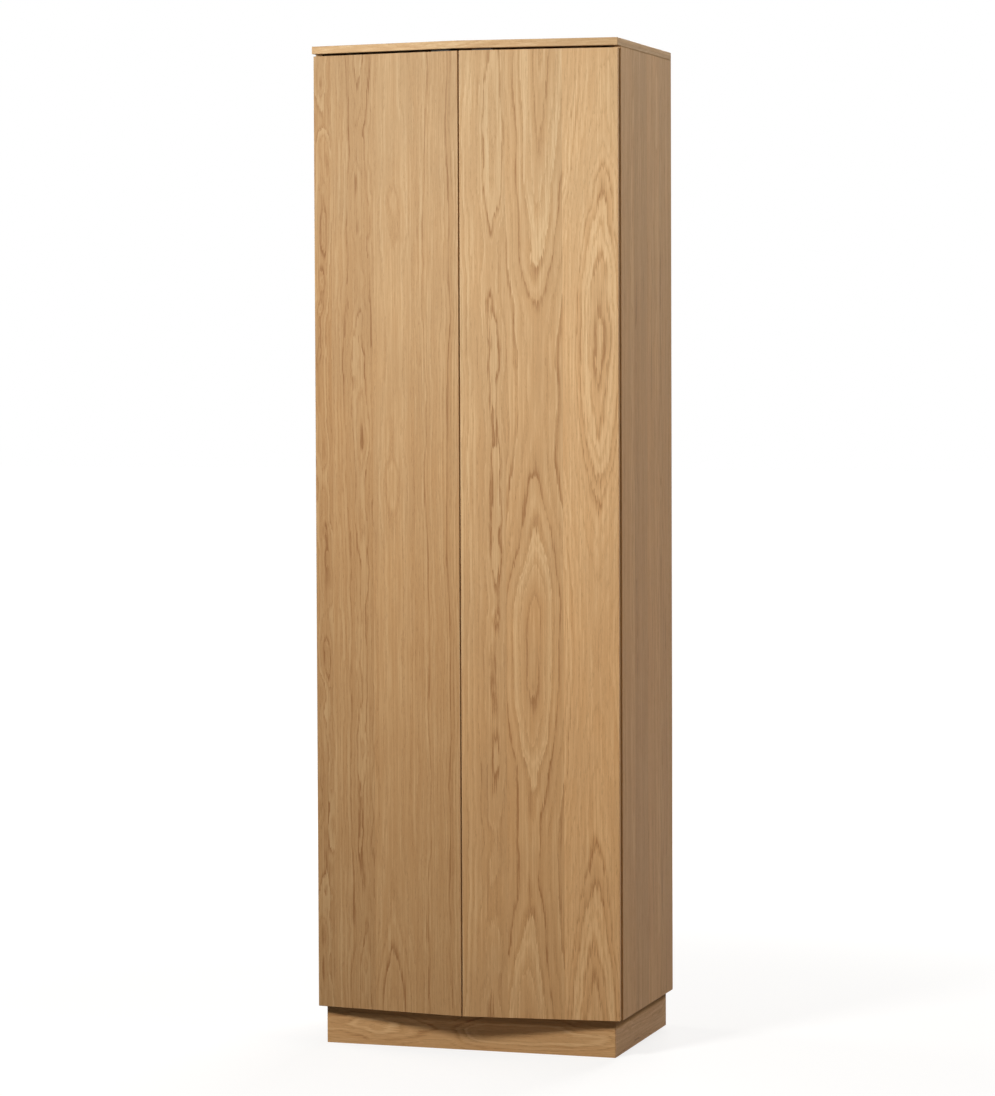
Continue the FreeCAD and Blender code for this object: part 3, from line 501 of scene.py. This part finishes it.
def leaf_inputs(tree, board, leaves):
    """The figure group's inputs for the leaf that a point lies on."""
    place, end = board_place(tree, board)
    parts = split(tree, place)
    height = calc(tree, "DIVIDE", parts["Z"], board.length)
    inputs = {}
    for leaf in leaves:
        past_start = calc(tree, "GREATER_THAN", parts["X"], leaf.start)
        past_end = calc(tree, "GREATER_THAN", parts["X"], leaf.end)
        inside = calc(tree, "SUBTRACT", past_start, past_end)
        values = {
            "Heart": calc(tree, "MULTIPLY_ADD", height, leaf.lean, leaf.heart),
            "Depth": depth_curve(tree, height, leaf.depth_shares),
            "Wave": leaf.wave,
            "Ring": leaf.ring,
            "Tone": leaf.tone,
            "Warmth": leaf.warmth,
            "Bold": leaf.bold,
            "Shift": leaf.shift,
        }
        for key, value in values.items():
            inputs[key] = calc(tree, "MULTIPLY_ADD", inside, value, inputs.get(key, 0.0))
    # Painted shade towards the floor, and painted-out warmth on the inner faces
    inputs["Warmth"] = calc(tree, "ADD", inputs["Warmth"], painted_floor_warmth(tree))
    edging = calc(tree, "MULTIPLY_ADD", end, EDGING_TONE - 1, 1.0)
    inputs["Tone"] = calc(tree, "MULTIPLY", inputs["Tone"], edging)
    # A band of painted shade beside the board's joint
    if board.joint:
        axis, joint_place, band, fading, shade_strength = board.joint
        start = joint_place - band
        inputs["Dust"] = fade(tree, parts[axis], start - fading, start, 0.0, shade_strength)
    return {"Place": place, **inputs}


def place_figure(tree, colours, edge, inputs):
    """The wood figure in its colours, with a lightness for the edges, and its leaves' inputs."""
    feeds = dict(zip(("Light", "Middle", "Dark", "Pore"), colours))
    return place_group(tree, WOOD_FIGURE, {"Edge": edge, **feeds, **inputs})


def bumped(tree, height, strength, depth):
    """A normal with the relief of a height."""
    feeds = {"Height": height, "Strength": strength, "Distance": depth}
    return add_node(tree, "Bump", feeds).outputs["Normal"]


def finish_material(tree, colour, roughness, normal, constants):
    """The shader and the output of a material."""
    feeds = {"Base Color": colour, "Roughness": roughness, "Normal": normal, **constants}
    shader = add_node(tree, "BsdfPrincipled", feeds)
    add_node(tree, "OutputMaterial", {"Surface": shader.outputs[0]})


def finish_lacquered(tree, colour, roughness, normal):
    """The shader and the output of a matt lacquered material."""
    finish_material(tree, colour, roughness, normal, {"Specular IOR Level": LACQUER_GLOSS})


def wood_material(name, colours, board, leaves, edges):
    """Matt lacquered wood on one board."""
    material = bpy.data.materials.new(name)
    tree = new_tree(material)
    radius, lighter = edges
    mask = place_group(tree, EDGE_MASK, {"Radius": radius})["Mask"]
    # Free edges are rubbed paler; a negative lightness paints shade along the seams
    edge = calc(tree, "MULTIPLY", mask, lighter)
    figure = place_figure(tree, colours, edge, leaf_inputs(tree, board, leaves))
    normal = bumped(tree, figure["Height"], *WOOD_RELIEF)
    finish_lacquered(tree, figure["Color"], figure["Roughness"], normal)
    return material


def back_board_material(name, board, leaves):
    """A thin board with an oak face to the inside and raw pressed fibre behind."""
    material = bpy.data.materials.new(name)
    tree = new_tree(material)
    inputs = leaf_inputs(tree, board, leaves)
    figure = place_figure(tree, OAK, 0.0, inputs)
    fibres = noise(tree, inputs["Place"], FIBRE)
    share = fade(tree, noise(tree, inputs["Place"], BLOTCH, fibres), *FIBRE_LIMITS)
    raw = mix(tree, "RGBA", share, *FIBRE_COLOURS)
    normal = add_node(tree, "TexCoord").outputs["Normal"]
    front = calc(tree, "LESS_THAN", split(tree, normal)["Y"], FRONT_FACING)
    colour = mix(tree, "RGBA", front, raw, figure["Color"])
    rough = mix(tree, "FLOAT", front, FIBRE_ROUGHNESS, figure["Roughness"])
    height = mix(tree, "FLOAT", front, fibres, figure["Height"])
    finish_lacquered(tree, colour, rough, bumped(tree, height, *FIBRE_RELIEF))
    return material


def surface_material(finish):
    """A metal or a moulding with its grain and handling marks."""
    material = bpy.data.materials.new(finish.name)
    tree = new_tree(material)
    feeds = {
        "Clean": finish.clean,
        "Dull": finish.dull,
        "Roughness": finish.roughness,
        "Grain": finish.grain,
        "Edge": place_group(tree, EDGE_MASK, {"Radius": SURFACE_EDGE})["Mask"],
    }
    surface = place_group(tree, SURFACE, feeds)
    normal = bumped(tree, surface["Height"], finish.relief, SURFACE_DEPTH)
    constants = {"Metallic": finish.metallic}
    finish_material(tree, surface["Color"], surface["Roughness"], normal, constants)
    return material


def plain_leaves(width, count, shift, tone=1.0, wave=1.0, warmth=0.15, bold=0.7):
    """Equal leaves of quiet, nearly straight figure over a board's width, from its middle."""
    step = width / count
    leaves = []
    for i in range(count):
        start = -width / 2 + step * i
        heart = start + step * HEART_SHARES[i % len(HEART_SHARES)]
        own_tone = tone * LEAF_TONES[i % len(LEAF_TONES)]
        look = (PLAIN_DEPTHS, wave, PLAIN_RING, own_tone, warmth, bold, shift + i)
        leaves.append(Leaf(start, start + step, heart, 0.0, *look))
    return leaves


def spread(leaves, room):
    """Widens the outer leaves, so that a board's edges lie on them."""
    leaves[0] = leaves[0]._replace(start=leaves[0].start - room)
    leaves[-1] = leaves[-1]._replace(end=leaves[-1].end + room)
    return leaves


def middle(low, high):
    """Middle of a box."""
    return (low + high) / 2


def door_board(side):
    """Board axes of a door, from its front face at the ridge: across runs to its outer edge."""
    low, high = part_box(f"{side}_door_panel")
    slope = DOOR_SLOPE if side == "right" else -DOOR_SLOPE
    across = Vector((1, slope, 0)).normalized()
    origin = Vector((0, low.y, low.z))
    return Board(origin, across, Vector((-across.y, across.x, 0)), Z_AXIS, high.z - low.z)


def right_door_leaves():
    """Three leaves: quiet, a flame with an eye, and a cathedral with an eye at the outer edge."""
    quiet = (
        (0.0, 0.3), (0.14, 0.38), (0.32, 0.3), (0.5, 0.32), (0.57, 0.24), (0.64, 0.32),
        (0.7, 0.27), (0.8, 0.3), (0.912, 0.2), (0.976, 0.3), (1.0, 0.32),
    )
    flame = (
        (0.0, 0.2), (0.05, 0.3), (0.1, 0.45), (0.18, 0.52), (0.246, 0.45), (0.29, 0.3),
        (0.335, 0.15), (0.37, 0.07), (0.41, 0.07), (0.445, 0.16), (0.475, 0.3), (0.51, 0.46),
        (0.55, 0.6), (0.605, 0.7), (0.66, 0.7), (0.722, 0.6), (0.778, 0.45), (0.855, 0.3),
        (0.927, 0.15), (1.0, 0.05),
    )
    cathedral = (
        (0.0, 0.35), (0.05, 0.46), (0.1, 0.55), (0.15, 0.64), (0.22, 0.75), (0.3, 0.85),
        (0.37, 0.89), (0.43, 0.87), (0.495, 0.77), (0.545, 0.65), (0.595, 0.52), (0.645, 0.44),
        (0.695, 0.41), (0.745, 0.44), (0.795, 0.52), (0.845, 0.65), (0.92, 0.82), (1.0, 0.95),
    )
    return [
        Leaf(0, 100 * MM, 70 * MM, 6 * MM, quiet,
             wave=0.7, ring=10 * MM, tone=0.96, warmth=0.1, bold=0.8, shift=3),
        Leaf(100 * MM, 222 * MM, 144 * MM, 34 * MM, flame,
             wave=0.6, ring=15 * MM, tone=1.0, warmth=0.15, bold=0.85, shift=71),
        Leaf(222 * MM, DOOR_EDGE, 284 * MM, 26 * MM, cathedral,
             wave=0.4, ring=7 * MM, tone=1.12, warmth=0.12, bold=0.65, shift=68),
    ]


def left_door_leaves():
    """Four leaves, outer one first: wavy, streaked, a pale soft cathedral, and straight."""
    wavy = ((0.0, 0.1), (0.2, 0.16), (0.4, 0.08), (0.6, 0.12), (0.8, 0.1), (1.0, 0.16))
    streaked = ((0.0, 0.2), (0.25, 0.24), (0.45, 0.2), (0.7, 0.26), (0.85, 0.3), (1.0, 0.26))
    soft = (
        (0.0, 0.14), (0.06, 0.28), (0.12, 0.42), (0.25, 0.5), (0.48, 0.48), (0.54, 0.4),
        (0.6, 0.48), (0.78, 0.48), (0.835, 0.38), (0.87, 0.46), (1.0, 0.54),
    )
    straight = ((0.0, 0.55), (0.5, 0.45), (1.0, 0.55))
    return [
        Leaf(-DOOR_EDGE, -300 * MM, -324 * MM, 0.0, wavy,
             wave=2.0, ring=8 * MM, tone=0.75, warmth=0.65, bold=0.8, shift=12),
        Leaf(-300 * MM, -203 * MM, -236 * MM, 4 * MM, streaked,
             wave=1.0, ring=8 * MM, tone=0.78, warmth=0.45, bold=0.95, shift=14),
        Leaf(-203 * MM, -106 * MM, -157 * MM, 2 * MM, soft,
             wave=0.5, ring=14 * MM, tone=0.84, warmth=0.3, bold=1.1, shift=17),
        Leaf(-106 * MM, 0, -190 * MM, 0.0, straight,
             wave=0.8, ring=8 * MM, tone=0.83, warmth=0.35, bold=0.9, shift=21),
    ]


def plinth_front_leaves(height):
    """One leaf whose arches point along the plinth."""
    shares = ((0.0, 0.2), (0.2, 0.1), (0.42, 0.22), (0.58, 0.04), (0.8, 0.18), (1.0, 0.3))
    look = dict(wave=1.4, ring=9 * MM, tone=1.12, warmth=0.2, bold=1.1, shift=26)
    return [Leaf(-height, height, 0.0, 0.0, shares, **look)]


def side_board(name):
    """Board axes of an upright board that runs from front to back, and its width."""
    low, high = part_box(name)
    centre = middle(low, high)
    length = high.z - low.z
    origin = Vector((centre.x, centre.y, low.z))
    joint = Joint("Z", length, *SIDE_SEAM_SHADE)
    return Board(origin, Y_AXIS, -X_AXIS, Z_AXIS, length, joint), high.y - low.y


def level_board(name):
    """Board axes of a level board, with its grain from side to side, and its width."""
    low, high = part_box(name)
    centre = middle(low, high)
    origin = Vector((low.x, centre.y, centre.z))
    return Board(origin, Y_AXIS, Z_AXIS, X_AXIS, high.x - low.x), high.y - low.y


def plinth_board(name, along):
    """Board axes of a plinth board, with its grain along its length, and its height."""
    low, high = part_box(name)
    length = (high - low).dot(along)
    height = high.z - low.z
    origin = middle(low, high) - along * length / 2
    joint = Joint("X", height / 2, *PLINTH_OVERHANG_SHADE)
    return Board(origin, Z_AXIS, along.cross(Z_AXIS), along, length, joint), height


def back_board(name):
    """Board axes of the back board, from its front face, and its width."""
    low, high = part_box(name)
    origin = Vector((middle(low, high).x, low.y, low.z))
    return Board(origin, X_AXIS, Y_AXIS, Z_AXIS, high.z - low.z), high.x - low.x


def small_board(name, along):
    """Board axes of small pieces of solid wood, and their width."""
    low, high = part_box(name)
    length = (high - low).dot(along)
    return Board(low, Y_AXIS, along.cross(Y_AXIS), along, length), high.y - low.y


def dress(node, material):
    """Gives a node one material."""
    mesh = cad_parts[node].data
    mesh.materials.clear()
    mesh.materials.append(material)


def board_finish(name, colours, board, leaves, edges=FREE_EDGE):
    """Wood on one node, with a material of its own."""
    dress(name, wood_material(f"wood_{name}", colours, board, leaves, edges))


def dress_doors():
    """Oak veneer on both doors."""
    board_finish("right_door_panel", OAK, door_board("right"), right_door_leaves())
    board_finish("left_door_panel", OAK, door_board("left"), left_door_leaves())


def dress_sides():
    """Oak veneer on the side boards and on the plinth under them."""
    for shift, side in ((30, "left"), (40, "right")):
        board, width = side_board(f"{side}_side_panel")
        look = dict(tone=0.95, wave=0.6, warmth=0.35, bold=1.1)
        leaves = spread(plain_leaves(width, SIDE_LEAVES, shift, **look), board.length)
        board_finish(f"{side}_side_panel", OAK, board, leaves, SEAM_SHADE_EDGE)
        board, height = plinth_board(f"{side}_plinth_side_board", Y_AXIS)
        leaves = spread(plain_leaves(height, 1, shift + 6), board.length)
        board_finish(f"{side}_plinth_side_board", OAK, board, leaves, SEAM_SHADE_EDGE)


def dress_level_boards():
    """Oak veneer on the top, the bottom and the shelf."""
    for name, shift, warmth, bold in (
        ("top_panel", 50, 0.1, 0.3),
        ("bottom_panel", 60, -0.5, 0.7),
        ("hat_shelf", 70, 0.0, 0.7),
    ):
        board, width = level_board(name)
        leaves = plain_leaves(width, LEVEL_LEAVES, shift, warmth=warmth, bold=bold)
        board_finish(name, OAK, board, spread(leaves, board.length))


def dress_plinth():
    """Oak veneer on the plinth's front and rear."""
    board, height = plinth_board("plinth_front_board", X_AXIS)
    board_finish("plinth_front_board", OAK, board, plinth_front_leaves(height), SEAM_SHADE_EDGE)
    board, height = plinth_board("plinth_rear_board", X_AXIS)
    leaves = spread(plain_leaves(height, 1, shift=80), board.length)
    board_finish("plinth_rear_board", OAK, board, leaves, SEAM_SHADE_EDGE)


def dress_back():
    """Oak veneer on the back board's inner face."""
    board, width = back_board("back_panel")
    leaves = plain_leaves(width, BACK_LEAVES, shift=90, wave=0.8, warmth=-0.5)
    dress("back_panel", back_board_material("back_board", board, spread(leaves, board.length)))


def dress_small_wood():
    """Solid pine corner blocks and beech dowels."""
    for name, colours, along in (
        ("plinth_corner_blocks", PINE, Z_AXIS),
        ("wood_dowels", BEECH, X_AXIS),
    ):
        board, width = small_board(name, along)
        leaves = spread(plain_leaves(width, 1, shift=110), board.length)
        board_finish(name, colours, board, leaves)


def dress_all(finish, single, in_pairs=()):
    """One metal or moulding on single pieces and on pieces that both sides have."""
    material = surface_material(finish)
    pairs = [f"{side}_{piece}" for side in ("left", "right") for piece in in_pairs]
    for name in (*single, *pairs):
        dress(name, material)


NICKEL_PAIRS = (
    "rail_socket",
    "hinge_plates",
    "hinge_arms",
    "hinge_cups",
    "hinge_main_links",
    "hinge_guide_links",
)
ZINC_SINGLES = ("cam_bolts", "plinth_screws", "rail_socket_screws", "wall_bracket_screws")
ZINC_PAIRS = (
    "hinge_plate_screws",
    "hinge_arm_screws",
    "hinge_arm_pins",
    "hinge_cup_pins",
    "hinge_cup_screws",
    "latch_screws",
    "strike_plates",
)

dress_doors()
dress_sides()
dress_level_boards()
dress_plinth()
dress_back()
dress_small_wood()
dress_all(NICKEL, ["wall_brackets"], NICKEL_PAIRS)
dress_all(ZINC_PLATE, ZINC_SINGLES, ZINC_PAIRS)
dress_all(CAST_ZINC, ["cam_housings"])
dress_all(CHROME, ["hanging_rail"])
dress_all(BROWN_PLASTIC, [], ["latch_housings"])
dress_all(GREY_PLASTIC, [], ["latch_plungers"])
dress_all(CLEAR_RUBBER, [], ["door_bumpers"])

# Camera, fitted to the edges of the object in the photograph, whose frame is 995 by 1096 pixels
PHOTO_WIDTH = 995
PHOTO_HEIGHT = 1096
CAMERA_PLACE = Vector((2.46464, -7.81657, 1.48167))
CAMERA_AZIMUTH = radians(18.14)
CAMERA_PITCH = radians(-2.2685)
CAMERA_ROLL = radians(-0.249)
FOCAL_PIXELS = 3769.7
CENTRE_PIXEL_X = 450.57
CENTRE_PIXEL_Y = 507.45
SENSOR = 36.0


def make_camera():
    """The photograph's viewing angle."""
    forward = Vector(
        (
            -sin(CAMERA_AZIMUTH) * cos(CAMERA_PITCH),
            cos(CAMERA_AZIMUTH) * cos(CAMERA_PITCH),
            sin(CAMERA_PITCH),
        )
    )
    level = Vector((cos(CAMERA_AZIMUTH), sin(CAMERA_AZIMUTH), 0))
    upright = level.cross(forward)
    right = level * cos(CAMERA_ROLL) + upright * sin(CAMERA_ROLL)
    up = upright * cos(CAMERA_ROLL) - level * sin(CAMERA_ROLL)
    data = bpy.data.cameras.new("camera")
    data.sensor_width = SENSOR
    data.lens = FOCAL_PIXELS * SENSOR / PHOTO_HEIGHT
    data.shift_x = (PHOTO_WIDTH / 2 - CENTRE_PIXEL_X) / PHOTO_HEIGHT
    data.shift_y = (CENTRE_PIXEL_Y - PHOTO_HEIGHT / 2) / PHOTO_HEIGHT
    camera = bpy.data.objects.new("camera", data)
    turn = Matrix((right, up, -forward)).transposed().to_4x4()
    camera.matrix_world = Matrix.Translation(CAMERA_PLACE) @ turn
    bpy.context.scene.collection.objects.link(camera)
    bpy.context.scene.camera = camera


# Floor: its width, how much light it throws back as the lens sees it and as the object does, and
# how bright it glows to the lens near the object and far from it
FLOOR_SIZE = 80.0
FLOOR_TONE = 0.28
FLOOR_BOUNCE = 0.23
FLOOR_GLOW = 0.76
FLOOR_GLOW_FAR = 1.0
FLOOR_NEAR = 1.0
FLOOR_FAR = 3.5

# Light from all round
ROOM_LIGHT = 0.06
ROOM_COLOUR = (1.0, 0.84, 0.69, 1.0)


def white_to_lens(tree):
    """One for rays that show the background: from the lens, reflected or through glass."""
    path = add_node(tree, "LightPath").outputs
    seen = calc(tree, "MAXIMUM", path["Is Camera Ray"], path["Is Glossy Ray"])
    return calc(tree, "MAXIMUM", seen, path["Is Transmission Ray"])


def floor_material():
    """Pale to the object, and white to the lens, with the object's shadow."""
    material = bpy.data.materials.new("floor")
    tree = new_tree(material)
    seen = white_to_lens(tree)
    tone = calc(tree, "MULTIPLY_ADD", seen, FLOOR_TONE - FLOOR_BOUNCE, FLOOR_BOUNCE)
    matt = add_node(tree, "BsdfDiffuse", {"Color": tone})
    place = add_node(tree, "TexCoord").outputs["Object"]
    distance = add_node(tree, "VectorMath", {0: place}, operation="LENGTH").outputs["Value"]
    glow = fade(tree, distance, FLOOR_NEAR, FLOOR_FAR, FLOOR_GLOW, FLOOR_GLOW_FAR)
    glow = add_node(tree, "Emission", {"Strength": calc(tree, "MULTIPLY", seen, glow)})
    both = add_node(tree, "AddShader", {0: matt.outputs[0], 1: glow.outputs[0]})
    add_node(tree, "OutputMaterial", {"Surface": both.outputs[0]})
    return material


def make_floor():
    """A plain pale floor."""
    shape = bmesh.new()
    bmesh.ops.create_grid(shape, x_segments=1, y_segments=1, size=FLOOR_SIZE / 2)
    mesh = bpy.data.meshes.new("floor")
    shape.to_mesh(mesh)
    shape.free()
    mesh.materials.append(floor_material())
    floor = bpy.data.objects.new("floor", mesh)
    bpy.context.scene.collection.objects.link(floor)


def make_room():
    """Even light from all round, white where the lens sees past the floor."""
    world = bpy.data.worlds.new("room")
    bpy.context.scene.world = world
    tree = new_tree(world)
    seen = white_to_lens(tree)
    strength = calc(tree, "MULTIPLY_ADD", seen, 1.0 - ROOM_LIGHT, ROOM_LIGHT)
    colour = mix(tree, "RGBA", seen, ROOM_COLOUR, WHITE)
    back = add_node(tree, "Background", {"Color": colour, "Strength": strength})
    add_node(tree, "OutputWorld", {"Surface": back.outputs[0]})


# A lamp: where it hangs, what it points at, its width, its power and its colour
Lamp = namedtuple("Lamp", "name place target width power colour")

LAMPS = (
    Lamp("key", (-0.75, -2.35, 2.35), (0, -0.2, 0.35), 0.5, 55.0, (1.0, 0.99, 0.96)),
    Lamp("side_fill", (3.0, -0.6, 2.6), (0, 0, 1.2), 1.4, 24.0, (1.0, 0.91, 0.8)),
    Lamp("left_fill", (-3.2, 0.9, 2.6), (0, 0, 1.2), 1.4, 34.0, (1.0, 0.95, 0.88)),
    Lamp("rear_fill", (0.4, 3.2, 3.9), (0, 0, 1.3), 1.8, 130.0, (1.0, 0.99, 0.97)),
)


def make_lamp(lamp):
    """A soft square lamp that the lens doesn't see."""
    data = bpy.data.lights.new(lamp.name, "AREA")
    data.size = lamp.width
    data.energy = lamp.power
    data.color = lamp.colour
    light = bpy.data.objects.new(lamp.name, data)
    place = Vector(lamp.place)
    light.location = place
    light.rotation_euler = (Vector(lamp.target) - place).to_track_quat("-Z", "Y").to_euler()
    light.visible_camera = False
    bpy.context.scene.collection.objects.link(light)


make_camera()
make_floor()
make_room()
for lamp in LAMPS:
    make_lamp(lamp)
bpy.context.scene.view_settings.view_transform = "Standard"
